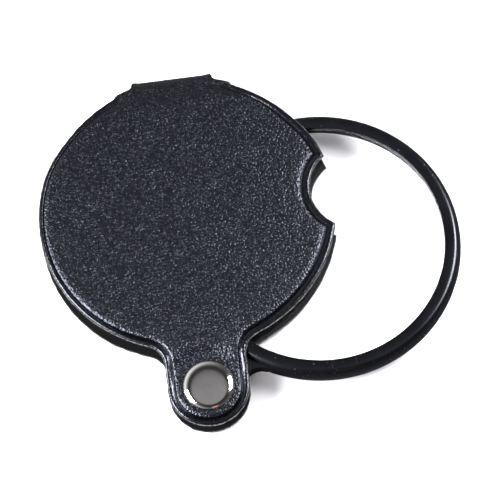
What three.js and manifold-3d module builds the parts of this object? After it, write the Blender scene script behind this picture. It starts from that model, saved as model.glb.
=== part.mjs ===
/*
Folding pocket hand lens in a riveted leather case.

A round glass lens sits in a black plastic frame. The frame has a thin ear, and a double-cap rivet through
the ear holds it in the tail of a padded leather case. The case is one blank shaped like a figure of eight,
folded over at the top and riveted at the tail, so both of its sides are open and the lens turns freely
about the rivet, out of either side. A thumb notch in the right side shows the frame's rim when it is shut.

Frame of the part: the origin is the centre of the case's round back face, which lies on the ground.
+Z goes up through the case, +Y towards its fold, and the rivet stands at -Y. Units are millimetres.
*/
import * as THREE from 'three';
import { mergeVertices } from 'three/addons/utils/BufferGeometryUtils.js';
import Module from 'manifold-3d';

const wasm = await Module();
wasm.setup();

// ---- Driving dimensions ----

// Lens and its frame
const LENS_CLEAR_RADIUS = 30.2; // glass seen inside the frame
const LENS_SEAT_OVERLAP = 1.3; // how far the glass reaches under the frame's lip
const LENS_EDGE_THICKNESS = 1.4;
const LENS_CENTRE_THICKNESS = 6;
const LENS_SEAT_CLEARANCE = 0.1; // glass to frame, and retaining ring to frame
const LENS_LIP_CLEARANCE = 0.15; // glass to the lip above it and to the retaining ring below it
const RIM_WIDTH = 4; // clear glass to the outside of the frame
const RIM_THICKNESS = 6;
const RIM_ROUNDING = 1.8; // width of the rim's rounded outer side
const RETAINER_RECESS = 0.2; // retaining ring sits this deep in the frame's back
const EAR_THICKNESS = 3.4;
const EAR_RADIUS = 5.5; // round end of the ear about the rivet, and half the ear's width
const EAR_FILLET = 4; // where the ear's sides run into the rim
const EAR_TO_GLASS = 1.2; // ear stops this far outside the glass's seat

// Rivet
const RIVET_TUBE_RADIUS = 2;
const RIVET_TUBE_WALL = 0.7;
const RIVET_POST_CLEARANCE = 0.1; // post to the tube's bore
const RIVET_HOLE_CLEARANCE = 0.2; // tube to the holes in the ear and in the case
const RIVET_CAP_RADIUS = 6;
const RIVET_CAP_HEIGHT = 1.2;
const RIVET_CAP_WALL = 0.25;
const RIVET_CAP_LIP = 1.6; // width of the rim that is turned in under the flange
const RIVET_FLANGE_THICKNESS = 0.25;
const RIVET_FLANGE_CLEARANCE = 0.1; // flange to the cap's shell, on every side

// Case
const CASE_MARGIN = 1.8; // case to the frame inside it, seen from above
const LENS_TO_LINING = 0.3; // lens unit to each lining
const EAR_TO_LINING = 0.3;
const PIVOT_TO_RIM = 10.8; // rivet's axis to the nearest point of the frame's rim
const TAIL_RADIUS = 9.5; // round end of the tail about the rivet, and half the tail's width
const NECK_FILLET = 5.5;
const FOLD_CLEARANCE = 2.2; // frame's rim to the inside of the fold
const FOLD_HALF_WIDTH = 10;
const FOLD_LAP = 1; // flat leather between a raised panel and the bend
const NOTCH_RADIUS = 11;
const NOTCH_DEPTH = 5.9; // from the case's circle to the deepest point of the notch
const NOTCH_SHIFT_FRONT = 0.8; // the two notches are punched a little apart
const NOTCH_SHIFT_BACK = -0.4;
const DISH_SHIFT = 2.5; // the pinched disc round the rivet is centred this far towards the tail's end
const DISH_MARGIN = 0.5; // flat leather beyond the rivet's cap
const DISH_RUN = 5; // radial length of the slope from the pinched disc up to the flat panel

// The case's layers, from the inside out
const LINING = 0.3;
const GLUE = 0.05; // between any two layers
const BOARD = 0.35;
const CORE_AT_BORDER = 0.2; // foam pressed flat along the border
const CORE_IN_PANEL = 0.5;
const SKIN_AT_BORDER = 0.35;
const SKIN_IN_PANEL = 0.4;
const BORDER = 2; // width of the pressed border
const BOARD_INSET = 0.9; // raised panel's edge to the board's edge

const SWING_AT_REST = THREE.MathUtils.degToRad(43); // how far the lens stands out of the case
const FACET = 3; // longest straight stretch on a round outline
const SMALL_SEGMENTS = 24; // sides of rivet parts and their holes

// ---- Sizes that follow from them ----

const FRAME_RADIUS = LENS_CLEAR_RADIUS + RIM_WIDTH;
const GLASS_RADIUS = LENS_CLEAR_RADIUS + LENS_SEAT_OVERLAP;
const SEAT_RADIUS = GLASS_RADIUS + LENS_SEAT_CLEARANCE;
const PIVOT_TO_LENS = FRAME_RADIUS + PIVOT_TO_RIM;
const BODY_RADIUS = FRAME_RADIUS + CASE_MARGIN;
const GAP = Math.max(RIM_THICKNESS, LENS_CENTRE_THICKNESS) / 2 + LENS_TO_LINING;
const TAIL_GAP = EAR_THICKNESS / 2 + EAR_TO_LINING;
const FOLD_Y = FRAME_RADIUS + FOLD_CLEARANCE - GAP;
const NOTCH_X = BODY_RADIUS - NOTCH_DEPTH + NOTCH_RADIUS;

// Heights of the layers' faces above the lining's inner face
const BORDER_CORE_FROM = LINING + GLUE;
const BORDER_CORE_TO = BORDER_CORE_FROM + CORE_AT_BORDER;
const BORDER_SKIN_FROM = BORDER_CORE_TO + GLUE;
const BORDER_SKIN_TO = BORDER_SKIN_FROM + SKIN_AT_BORDER;
const BOARD_FROM = LINING + GLUE;
const BOARD_TO = BOARD_FROM + BOARD;
const PANEL_CORE_FROM = BOARD_TO + GLUE;
const PANEL_CORE_TO = PANEL_CORE_FROM + CORE_IN_PANEL;
const PANEL_SKIN_FROM = PANEL_CORE_TO + GLUE;
const PANEL_SKIN_TO = PANEL_SKIN_FROM + SKIN_IN_PANEL;

const MID_Z = GAP + PANEL_SKIN_TO; // the plane that the lens turns in
const PIVOT = new THREE.Vector2(0, -PIVOT_TO_LENS);
const CUTTER = 200; // larger than the part, for cutting blocks

// ---- Solids ----

/** The geometry as a manifold-3d solid. */
function toSolid(geometry) {
  const bare = geometry.clone();
  bare.deleteAttribute('normal');
  bare.deleteAttribute('uv');
  const merged = mergeVertices(bare, 1e-4);
  return new wasm.Manifold(
    new wasm.Mesh({
      numProp: 3,
      vertProperties: merged.attributes.position.array,
      triVerts: new Uint32Array(merged.index.array),
    }),
  );
}

/** The solid as a named mesh. */
function toMesh(name, solid, material) {
  const { vertProperties, triVerts } = solid.getMesh();
  const geometry = new THREE.BufferGeometry();
  geometry.setAttribute('position', new THREE.BufferAttribute(vertProperties, 3));
  geometry.setIndex(new THREE.BufferAttribute(triVerts, 1));
  geometry.computeVertexNormals();
  const mesh = new THREE.Mesh(geometry, material);
  mesh.name = name;
  return mesh;
}

/** A flat shape raised from z = from to z = to. */
function prism(points, from, to) {
  const geometry = new THREE.ExtrudeGeometry(new THREE.Shape(points), { depth: to - from, bevelEnabled: false });
  geometry.translate(0, 0, from);
  return toSolid(geometry);
}

/** A profile of [radius, z] points, from the bottom outwards and up, turned about the Z axis at (x, y). */
function turned(profile, segments, x = 0, y = 0) {
  const points = profile.map(([r, z]) => new THREE.Vector2(r, z));
  const geometry = new THREE.LatheGeometry(points, segments);
  geometry.rotateX(Math.PI / 2);
  geometry.translate(x, y, 0);
  return toSolid(geometry);
}

/** A round bar about the Z axis at (x, y). */
function rod(radius, from, to, x = 0, y = 0, segments = SMALL_SEGMENTS) {
  return turned([[0, from], [radius, from], [radius, to], [0, to]], segments, x, y);
}

/** The solid turned over about the plane that the lens turns in. */
function turnedOver(solid) {
  return solid.rotate([0, 180, 0]);
}

// ---- Outlines ----

/** Points on an arc. It runs counter-clockwise when to is larger than from. */
function arc(centre, radius, from, to) {
  const steps = Math.max(4, Math.ceil((Math.abs(to - from) * radius) / FACET));
  return Array.from({ length: steps + 1 }, (_, i) => {
    const angle = from + ((to - from) * i) / steps;
    return new THREE.Vector2(centre.x + radius * Math.cos(angle), centre.y + radius * Math.sin(angle));
  });
}

/** Where two circles meet, on the right of the line from a to b. */
function meeting(a, radiusA, b, radiusB) {
  const apart = a.distanceTo(b);
  const along = (radiusA ** 2 - radiusB ** 2 + apart ** 2) / (2 * apart);
  const aside = Math.sqrt(radiusA ** 2 - along ** 2);
  const way = b.clone().sub(a).divideScalar(apart);
  return new THREE.Vector2(a.x + way.x * along + way.y * aside, a.y + way.y * along - way.x * aside);
}

/** Centre of the fillet between a disc at the origin and the right side of a tail that runs down from it. */
function filletCentre(discRadius, tailHalfWidth, fillet) {
  const x = tailHalfWidth + fillet;
  return new THREE.Vector2(x, -Math.sqrt((discRadius + fillet) ** 2 - x ** 2));
}

function angleOf(from, to) {
  return Math.atan2(to.y - from.y, to.x - from.x);
}

/** The case from above, drawn inset by a distance: a disc with a thumb notch, a necked tail and no fold. */
function caseOutline(inset, notchShift) {
  const centre = new THREE.Vector2(0, 0);
  const body = BODY_RADIUS - inset;
  const tail = TAIL_RADIUS - inset;
  const fillet = NECK_FILLET + inset;
  const rightNeck = filletCentre(BODY_RADIUS, TAIL_RADIUS, NECK_FILLET);
  const leftNeck = new THREE.Vector2(-rightNeck.x, rightNeck.y);
  const notch = new THREE.Vector2(NOTCH_X, notchShift);
  const cut = NOTCH_RADIUS + inset;
  const lower = meeting(centre, body, notch, cut);
  const upper = meeting(notch, cut, centre, body);
  const full = 2 * Math.PI;
  const wrap = (angle) => (angle < 0 ? angle + full : angle);
  return [
    ...arc(centre, body, angleOf(centre, upper), wrap(angleOf(centre, leftNeck))),
    ...arc(leftNeck, fillet, angleOf(leftNeck, centre), 0).slice(1),
    ...arc(PIVOT, tail, Math.PI, full),
    ...arc(rightNeck, fillet, Math.PI, angleOf(rightNeck, centre)),
    ...arc(centre, body, angleOf(centre, rightNeck), angleOf(centre, lower)).slice(1),
    ...arc(notch, cut, wrap(angleOf(notch, lower)), wrap(angleOf(notch, upper))).slice(1, -1),
  ];
}

// ---- The case's layers ----

/** Everything between two heights over the lining's inner face, on the front. It is pinched in round the rivet. */
function slab(from, to) {
  const flat = RIVET_CAP_RADIUS + DISH_SHIFT + DISH_MARGIN;
  const top = flat + DISH_RUN;
  return turned(
    [
      [0, TAIL_GAP + from],
      [flat, TAIL_GAP + from],
      [top, GAP + from],
      [CUTTER, GAP + from],
      [CUTTER, GAP + to],
      [top, GAP + to],
      [flat, TAIL_GAP + to],
      [0, TAIL_GAP + to],
    ],
    Math.round((2 * Math.PI * top) / FACET),
    PIVOT.x,
    PIVOT.y - DISH_SHIFT,
  );
}

function block(x0, x1, y0, y1, z0, z1) {
  const geometry = new THREE.BoxGeometry(x1 - x0, y1 - y0, z1 - z0);
  geometry.translate((x0 + x1) / 2, (y0 + y1) / 2, (z0 + z1) / 2);
  return toSolid(geometry);
}

/** A tall block with the case's outline, inset by a distance. It ends where the fold's bend or border begins. */
function footprint(inset, notchShift) {
  const end = inset > 0 ? FOLD_Y - FOLD_LAP - (inset - BORDER) : FOLD_Y;
  const beyond = block(-CUTTER, CUTTER, end, 2 * CUTTER, -CUTTER, CUTTER);
  return prism(caseOutline(inset, notchShift), -CUTTER, CUTTER).subtract(beyond);
}

/** The slab inside the case's outline, inset by a distance. */
function panel(from, to, inset, notchShift) {
  return slab(from, to).intersect(footprint(inset, notchShift));
}

/** A layer's half-round bend at the fold, waisted towards the middle of the fold. */
function foldBend(from, to) {
  const half = Math.sqrt(BODY_RADIUS ** 2 - FOLD_Y ** 2);
  const centre = new THREE.Vector2(FOLD_Y, 0);
  const lap = FOLD_Y - FOLD_LAP;
  const bend = [
    new THREE.Vector2(lap, -GAP - to),
    ...arc(centre, GAP + to, -Math.PI / 2, Math.PI / 2),
    new THREE.Vector2(lap, GAP + to),
    new THREE.Vector2(lap, GAP + from),
    ...arc(centre, GAP + from, Math.PI / 2, -Math.PI / 2),
    new THREE.Vector2(lap, -GAP - from),
  ];
  const geometry = new THREE.ExtrudeGeometry(new THREE.Shape(bend), { depth: 2 * half, bevelEnabled: false });
  geometry.translate(0, 0, -half);
  const yzx = new THREE.Matrix4().makeBasis(
    new THREE.Vector3(0, 1, 0),
    new THREE.Vector3(0, 0, 1),
    new THREE.Vector3(1, 0, 0),
  );
  geometry.applyMatrix4(yzx);
  const waist = half - FOLD_HALF_WIDTH;
  const rise = GAP + BORDER_SKIN_TO;
  const radius = (rise ** 2 + waist ** 2) / (2 * waist);
  const cutter = toSolid(new THREE.CylinderGeometry(radius, radius, CUTTER, 2 * SMALL_SEGMENTS));
  const right = cutter.translate([FOLD_HALF_WIDTH + radius, 0, 0]);
  const left = cutter.translate([-FOLD_HALF_WIDTH - radius, 0, 0]);
  return toSolid(geometry).subtract(right).subtract(left);
}

/** A folded layer: front panel, bend and back panel in one, with the rivet's hole, centred on z = 0. */
function folded(make, bend) {
  const front = make(NOTCH_SHIFT_FRONT);
  const back = turnedOver(mirroredInX(make(NOTCH_SHIFT_BACK)));
  const hole = rod(RIVET_TUBE_RADIUS + RIVET_HOLE_CLEARANCE, -CUTTER, CUTTER, PIVOT.x, PIVOT.y);
  return front.add(bend).add(back).subtract(hole);
}

function mirroredInX(solid) {
  return solid.mirror([1, 0, 0]);
}

function leatherSkin() {
  const make = (notchShift) => {
    const inside = footprint(BORDER + SKIN_IN_PANEL, notchShift);
    const border = panel(BORDER_SKIN_FROM, BORDER_SKIN_TO, 0, notchShift).subtract(inside);
    const raised = panel(PANEL_SKIN_FROM, PANEL_SKIN_TO, BORDER, notchShift);
    const step = panel(BORDER_SKIN_FROM, PANEL_SKIN_TO, BORDER, notchShift).subtract(inside);
    return border.add(raised).add(step);
  };
  return folded(make, foldBend(BORDER_SKIN_FROM, BORDER_SKIN_TO));
}

function foamCore() {
  const innerInset = BORDER + SKIN_IN_PANEL + GLUE;
  const make = (notchShift) => {
    const boardHole = footprint(BORDER + BOARD_INSET - GLUE, notchShift);
    const border = panel(BORDER_CORE_FROM, BORDER_CORE_TO, 0, notchShift).subtract(boardHole);
    const wall = panel(BORDER_CORE_FROM, PANEL_CORE_TO, innerInset, notchShift).subtract(boardHole);
    return border.add(wall).add(panel(PANEL_CORE_FROM, PANEL_CORE_TO, innerInset, notchShift));
  };
  return folded(make, foldBend(BORDER_CORE_FROM, BORDER_CORE_TO));
}

function lining() {
  return folded((notchShift) => panel(0, LINING, 0, notchShift), foldBend(0, LINING));
}

function board(notchShift) {
  const hole = rod(RIVET_TUBE_RADIUS + RIVET_HOLE_CLEARANCE, -CUTTER, CUTTER, PIVOT.x, PIVOT.y);
  return panel(BOARD_FROM, BOARD_TO, BORDER + BOARD_INSET, notchShift).subtract(hole);
}

// ---- The rivet ----

/** The shell of the front cap: a low dome whose rim is turned in under the flange of the tube or post. */
function rivetCap() {
  const base = TAIL_GAP + PANEL_SKIN_TO + GLUE;
  const steps = 5;
  const dome = (radius, foot, rise) =>
    Array.from({ length: steps + 1 }, (_, i) => {
      const angle = (Math.PI / 2) * (i / steps);
      return [radius * Math.cos(angle), foot + rise * Math.sin(angle)];
    });
  const lipTop = base + RIVET_CAP_WALL;
  const innerRise = RIVET_CAP_HEIGHT - 2 * RIVET_CAP_WALL;
  const shell = [
    [RIVET_CAP_RADIUS - RIVET_CAP_LIP, base],
    ...dome(RIVET_CAP_RADIUS, lipTop, RIVET_CAP_HEIGHT - RIVET_CAP_WALL),
    ...dome(RIVET_CAP_RADIUS - RIVET_CAP_WALL, lipTop, innerRise).reverse(),
    [RIVET_CAP_RADIUS - RIVET_CAP_LIP, lipTop],
    [RIVET_CAP_RADIUS - RIVET_CAP_LIP, base],
  ];
  shell.splice(1, 0, [RIVET_CAP_RADIUS - RIVET_CAP_WALL / 2, base]);
  return turned(shell, SMALL_SEGMENTS, PIVOT.x, PIVOT.y);
}

/** The disc that a cap's rim grips, centred on the rivet. */
function rivetFlange() {
  const from = TAIL_GAP + PANEL_SKIN_TO + GLUE + RIVET_CAP_WALL + RIVET_FLANGE_CLEARANCE;
  const height = (RIVET_FLANGE_CLEARANCE + RIVET_FLANGE_THICKNESS) / (RIVET_CAP_HEIGHT - 2 * RIVET_CAP_WALL);
  const underDome = (RIVET_CAP_RADIUS - RIVET_CAP_WALL) * Math.sqrt(1 - height ** 2);
  return { from, to: from + RIVET_FLANGE_THICKNESS, radius: underDome - RIVET_FLANGE_CLEARANCE };
}

/** The tube under the front cap, open at its lower end. */
function rivetTube() {
  const flange = rivetFlange();
  const bore = RIVET_TUBE_RADIUS - RIVET_TUBE_WALL;
  const end = -(TAIL_GAP + PANEL_SKIN_TO);
  const profile = [
    [bore, end],
    [RIVET_TUBE_RADIUS, end],
    [RIVET_TUBE_RADIUS, flange.from],
    [flange.radius, flange.from],
    [flange.radius, flange.to],
    [bore, flange.to],
    [bore, end],
  ];
  return turned(profile, SMALL_SEGMENTS, PIVOT.x, PIVOT.y);
}

/** The post under the back cap, pressed up into the tube. */
function rivetPost() {
  const flange = rivetFlange();
  const radius = RIVET_TUBE_RADIUS - RIVET_TUBE_WALL - RIVET_POST_CLEARANCE;
  const profile = [
    [0, -flange.to],
    [flange.radius, -flange.to],
    [flange.radius, -flange.from],
    [radius, -flange.from],
    [radius, flange.from],
    [0, flange.from],
  ];
  return turned(profile, SMALL_SEGMENTS, PIVOT.x, PIVOT.y);
}

// ---- The lens unit, shut in the case: the lens's centre is at the origin ----

const ROUND_SEGMENTS = Math.round((2 * Math.PI * FRAME_RADIUS) / FACET);

/** Height of a face of the glass over the middle plane. */
function glassFace(radius) {
  const sag = (LENS_CENTRE_THICKNESS - LENS_EDGE_THICKNESS) / 2;
  const sphere = (GLASS_RADIUS ** 2 + sag ** 2) / (2 * sag);
  return LENS_CENTRE_THICKNESS / 2 - (sphere - Math.sqrt(sphere ** 2 - radius ** 2));
}

function lensGlass() {
  const rings = 5;
  const face = Array.from({ length: rings + 1 }, (_, i) => {
    const radius = (GLASS_RADIUS * i) / rings;
    return [radius, glassFace(radius)];
  });
  const lower = face.map(([radius, z]) => [radius, -z]);
  return turned([...lower, ...face.reverse()], ROUND_SEGMENTS);
}

/** Height of the lip's underside, and with its sign changed of the retaining ring's top. */
const LIP_Z = glassFace(LENS_CLEAR_RADIUS) + LENS_LIP_CLEARANCE;

function lensFrame() {
  const half = RIM_THICKNESS / 2;
  const steps = 8;
  const side = Array.from({ length: steps + 1 }, (_, i) => {
    const angle = Math.PI * (i / steps - 0.5);
    return [FRAME_RADIUS - RIM_ROUNDING + RIM_ROUNDING * Math.cos(angle), half * Math.sin(angle)];
  });
  const rim = turned(
    [
      [SEAT_RADIUS, -half],
      ...side,
      [LENS_CLEAR_RADIUS, half],
      [LENS_CLEAR_RADIUS, LIP_Z],
      [SEAT_RADIUS, LIP_Z],
      [SEAT_RADIUS, -half],
    ],
    ROUND_SEGMENTS,
  );
  const centre = new THREE.Vector2(0, 0);
  const right = filletCentre(FRAME_RADIUS, EAR_RADIUS, EAR_FILLET);
  const left = new THREE.Vector2(-right.x, right.y);
  const outline = [
    ...arc(PIVOT, EAR_RADIUS, Math.PI, 2 * Math.PI),
    ...arc(right, EAR_FILLET, Math.PI, angleOf(right, centre)),
    new THREE.Vector2(right.x, -LENS_CLEAR_RADIUS),
    new THREE.Vector2(left.x, -LENS_CLEAR_RADIUS),
    ...arc(left, EAR_FILLET, angleOf(left, centre), 0),
  ];
  const ear = prism(outline, -EAR_THICKNESS / 2, EAR_THICKNESS / 2)
    .subtract(rod(SEAT_RADIUS + EAR_TO_GLASS, -CUTTER, CUTTER, 0, 0, ROUND_SEGMENTS));
  const hole = rod(RIVET_TUBE_RADIUS + RIVET_HOLE_CLEARANCE, -CUTTER, CUTTER, PIVOT.x, PIVOT.y);
  return rim.add(ear).subtract(hole);
}

function retainingRing() {
  const outside = SEAT_RADIUS - LENS_SEAT_CLEARANCE;
  const bottom = RETAINER_RECESS - RIM_THICKNESS / 2;
  const profile = [
    [LENS_CLEAR_RADIUS, bottom],
    [outside, bottom],
    [outside, -LIP_Z],
    [LENS_CLEAR_RADIUS, -LIP_Z],
    [LENS_CLEAR_RADIUS, bottom],
  ];
  return turned(profile, ROUND_SEGMENTS);
}

// ---- Assembly ----

const MATERIALS = {
  leather: new THREE.MeshStandardMaterial({ color: 0x202127, roughness: 0.55, metalness: 0 }),
  foam: new THREE.MeshStandardMaterial({ color: 0x8f8e8c, roughness: 0.9, metalness: 0 }),
  board: new THREE.MeshStandardMaterial({ color: 0xa89b86, roughness: 0.9, metalness: 0 }),
  lining: new THREE.MeshStandardMaterial({ color: 0x141519, roughness: 0.8, metalness: 0 }),
  plastic: new THREE.MeshStandardMaterial({ color: 0x17181b, roughness: 0.42, metalness: 0 }),
  chrome: new THREE.MeshStandardMaterial({ color: 0xc9c8c8, roughness: 0.12, metalness: 1 }),
  glass: new THREE.MeshPhysicalMaterial({ color: 0xf4f8f8, roughness: 0.02, metalness: 0, transmission: 1 }),
};

const caseGroup = new THREE.Group();
caseGroup.position.z = MID_Z;
caseGroup.add(
  toMesh('leather_cover', leatherSkin(), MATERIALS.leather),
  toMesh('foam_core', foamCore(), MATERIALS.foam),
  toMesh('front_board', board(NOTCH_SHIFT_FRONT), MATERIALS.board),
  toMesh('back_board', turnedOver(mirroredInX(board(NOTCH_SHIFT_BACK))), MATERIALS.board),
  toMesh('case_lining', lining(), MATERIALS.lining),
  toMesh('rivet_front_cap', rivetCap(), MATERIALS.chrome),
  toMesh('rivet_tube', rivetTube(), MATERIALS.chrome),
  toMesh('rivet_post', rivetPost(), MATERIALS.chrome),
  toMesh('rivet_back_cap', turnedOver(rivetCap()), MATERIALS.chrome),
);

const lensUnit = new THREE.Group();
lensUnit.add(
  toMesh('lens_frame', lensFrame(), MATERIALS.plastic),
  toMesh('lens_glass', lensGlass(), MATERIALS.glass),
  toMesh('lens_retaining_ring', retainingRing(), MATERIALS.plastic),
);
lensUnit.position.set(0, PIVOT_TO_LENS, 0);

const swing = new THREE.Group();
swing.position.set(PIVOT.x, PIVOT.y, MID_Z);
swing.rotation.z = -SWING_AT_REST;
swing.add(lensUnit);

const handLens = new THREE.Group();
handLens.name = 'hand_lens';
handLens.add(caseGroup, swing);

export default handLens;
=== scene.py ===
"""The looks of a folding pocket hand lens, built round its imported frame.

The case is one blank of padded leather, shaped like a figure of eight, folded over at the top and riveted at
the tail. Three layers make it up: the leather cover, a foam core whose cut edge shows as a light line, and a
smooth lining. Between its panels a round lens in a black plastic frame turns on the rivet.

Sizes in the classes are in millimetres. The frame's origin is the centre of the case's round back face, +Z is
up, +Y points to the fold, and the rivet stands at -Y.
"""

import logging
import math
from dataclasses import dataclass, field
from enum import Enum
from typing import Mapping, Sequence, Union

import bmesh
import bpy
from mathutils import Matrix, Vector


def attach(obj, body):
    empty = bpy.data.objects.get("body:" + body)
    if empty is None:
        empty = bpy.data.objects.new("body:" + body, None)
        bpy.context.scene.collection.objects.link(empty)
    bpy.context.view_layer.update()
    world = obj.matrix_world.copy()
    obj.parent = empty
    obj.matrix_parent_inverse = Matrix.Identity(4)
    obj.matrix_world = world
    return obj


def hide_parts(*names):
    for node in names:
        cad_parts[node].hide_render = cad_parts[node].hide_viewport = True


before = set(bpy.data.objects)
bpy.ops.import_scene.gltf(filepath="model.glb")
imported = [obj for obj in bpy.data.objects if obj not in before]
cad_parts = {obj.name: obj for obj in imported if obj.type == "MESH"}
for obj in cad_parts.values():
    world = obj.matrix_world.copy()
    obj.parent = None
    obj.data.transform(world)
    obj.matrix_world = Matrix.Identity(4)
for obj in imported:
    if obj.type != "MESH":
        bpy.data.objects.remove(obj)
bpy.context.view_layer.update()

MM = 0.001
MID_HEIGHT = 5.0  # the plane that the lens turns in
PIVOT_DROP = 45.0  # the rivet below the centre of the case
HOLE_RADIUS = 2.2  # the holes that the rivet's tube passes
PRESSED = "pressed"  # attribute of the leather: 1 where it is pressed flat, 0 on the padding
log = logging.getLogger("hand_lens")

Flat = tuple[float, float]
Point = tuple[float, float, float]
Socket = bpy.types.NodeSocket
Thing = bpy.types.Object
Feed = Union[Socket, float, tuple[float, ...]]

MERGE_DISTANCE = 1e-6  # in metres: vertices closer than this become one
DEGENERATE_EDGE = 1e-7  # in metres
PUNCH_SIDES = 48
PUNCH_LENGTH = 40.0
SEAT_PLUG = 20.0  # length of the block that keeps the ear clear of the glass
ROUND_STEPS = 192  # steps round the frame and its ring
GLASS_STEPS = 144
GLASS_RINGS = 26
CAP_STEPS = 96
RAW_SIZE = 0.01  # in metres: a primitive's size before its points are set
WAVE_BANDS = 3  # about how many bands a wave texture makes in one unit of its scale
EAR_POINTS = 40
FILLET_POINTS = 14
SIDE_POINTS = {
    "tail": 26, "tail_side": 8, "neck": 14, "below_notch": 48, "notch": 28, "above_notch": 54,
    "fold": 10, "bend": 6,
}
PIVOT: Flat = (0.0, -PIVOT_DROP)
ORIGIN: Flat = (0.0, 0.0)
SPAN: Flat = (0.0, 1.0)
FRAY_WAVES = ((0.6, 0.9, 1.7, 1), (0.4, 4.1, -3.3, 2))  # share, turn per mm across, turn per mm up, shift
SHADER_INPUTS = {
    "base_color": "Base Color",
    "roughness": "Roughness",
    "metallic": "Metallic",
    "specular": "Specular IOR Level",
    "tint": "Specular Tint",
    "transmission": "Transmission Weight",
    "ior": "IOR",
    "normal": "Normal",
}


class Body(Enum):
    """The two bodies that move against each other."""

    CASE = "case"
    LENS = "lens"


class Slot(Enum):
    """The record's material slot names. Nothing in this script gives them to the pieces."""

    LEATHER = "leather"
    FOAM = "foam"
    LINING = "lining"
    CHROME = "chrome"
    PLASTIC = "frame_plastic"
    LENS = "lens"


# ---- Small sums ----


def rise(value: float, start: float, end: float) -> float:
    """Return 0 below start, 1 above end and a smooth rise between."""
    t = min(1.0, max(0.0, (value - start) / (end - start)))
    return t * t * (3 - 2 * t)


def lerp(a: float, b: float, t: float) -> float:
    """Return the value a share t of the way from a to b."""
    return a + (b - a) * t


def arc(centre: Flat, radius: float, start: float, end: float, count: int) -> list[Flat]:
    """Lay points along an arc, without its last one.

    Args:
        centre: The arc's centre.
        radius: Its radius.
        start: The first point's angle, in degrees.
        end: The angle that the arc stops short of, in degrees.
        count: How many points it has.

    Returns:
        The points, in order.
    """
    angles = [math.radians(lerp(start, end, i / count)) for i in range(count)]
    return [(centre[0] + radius * math.cos(a), centre[1] + radius * math.sin(a)) for a in angles]


def straight(start: Flat, end: Flat, count: int) -> list[Flat]:
    """Lay count points from start towards end, without end itself."""
    return [(lerp(start[0], end[0], i / count), lerp(start[1], end[1], i / count)) for i in range(count)]


def bearing(start: Flat, end: Flat) -> float:
    """Return the angle of the way from start to end, in degrees."""
    return math.degrees(math.atan2(end[1] - start[1], end[0] - start[0]))


def fillet_centre(disc_radius: float, half_width: float, fillet: float, down: bool) -> Flat:
    """Find the fillet between a disc at the origin and the right side of a strip that runs from it.

    Args:
        disc_radius: The disc's radius.
        half_width: Half of the strip's width.
        fillet: The fillet's radius.
        down: True for a strip that runs down, False for one that runs up.

    Returns:
        The fillet's centre.
    """
    x = half_width + fillet
    y = math.sqrt((disc_radius + fillet) ** 2 - x**2)
    return x, -y if down else y


# ---- Modelling by operators ----


def deselect_all() -> None:
    """Leave nothing selected, in object mode."""
    if bpy.context.mode != "OBJECT":
        bpy.ops.object.mode_set(mode="OBJECT")
    bpy.ops.object.select_all(action="DESELECT")


def activate(piece: Thing) -> None:
    """Select one object alone and make it the active one."""
    deselect_all()
    piece.select_set(True)
    bpy.context.view_layer.objects.active = piece


def settle(piece: Thing) -> None:
    """Merge a mesh's doubles and point its faces outwards."""
    activate(piece)
    bpy.ops.object.mode_set(mode="EDIT")
    bpy.ops.mesh.select_all(action="SELECT")
    bpy.ops.mesh.remove_doubles(threshold=MERGE_DISTANCE)
    bpy.ops.mesh.dissolve_degenerate(threshold=DEGENERATE_EDGE)
    bpy.ops.mesh.normals_make_consistent(inside=False)
    bpy.ops.object.mode_set(mode="OBJECT")


def shade(piece: Thing, degrees: float) -> None:
    """Shade a piece smooth, with a crease wherever it turns by more than an angle in degrees."""
    activate(piece)
    bpy.ops.object.shade_smooth_by_angle(angle=math.radians(degrees))


def freeze(piece: Thing) -> None:
    """Put an object's place, turn and scale into its mesh."""
    activate(piece)
    bpy.ops.object.transform_apply(location=True, rotation=True, scale=True)


def wrapped_sheet(name: str, rings: Sequence[Sequence[Point]]) -> Thing:
    """Wrap a grid into a closed solid whose rows are rings.

    Args:
        name: The new piece's name.
        rings: Rings of points in millimetres, all of one length. The first and last fold flat onto a line.

    Returns:
        The piece.
    """
    deselect_all()
    columns = len(rings[0])
    bpy.ops.mesh.primitive_grid_add(x_subdivisions=columns, y_subdivisions=len(rings) - 1, size=RAW_SIZE)
    piece = bpy.context.object
    piece.name = name
    places = [p for ring in rings for p in (*ring, ring[0])]
    piece.data.vertices.foreach_set("co", [c * MM for p in places for c in p])
    settle(piece)
    return piece


def spun(name: str, profile: Sequence[Flat], centre: Flat, steps: int, closed: bool) -> Thing:
    """Spin a profile about an upright axis.

    Args:
        name: The new piece's name.
        profile: Points of (radius, height) in millimetres.
        centre: The axis's x and y, in millimetres.
        steps: How many steps the full turn takes.
        closed: True if the profile's end joins its start, False if both ends lie on the axis.

    Returns:
        The piece.
    """
    deselect_all()
    bpy.ops.mesh.primitive_circle_add(vertices=len(profile), radius=RAW_SIZE, fill_type="NOTHING")
    piece = bpy.context.object
    piece.name = name
    for vertex, (radius, height) in zip(piece.data.vertices, profile):
        vertex.co = Vector((centre[0] + radius, centre[1], height)) * MM
    bpy.ops.object.mode_set(mode="EDIT")
    bpy.ops.mesh.select_all(action="DESELECT")
    if not closed:
        mesh = bmesh.from_edit_mesh(piece.data)
        mesh.verts.ensure_lookup_table()
        ends = {mesh.verts[0], mesh.verts[len(profile) - 1]}
        for edge in mesh.edges:
            edge.select_set(set(edge.verts) == ends)
        bmesh.update_edit_mesh(piece.data)
        bpy.ops.mesh.delete(type="EDGE")
    bpy.ops.mesh.select_all(action="SELECT")
    axis_point = (centre[0] * MM, centre[1] * MM, 0)
    bpy.ops.mesh.spin(steps=steps, angle=2 * math.pi, center=axis_point, axis=(0, 0, 1))
    bpy.ops.object.mode_set(mode="OBJECT")
    settle(piece)
    return piece


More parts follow.
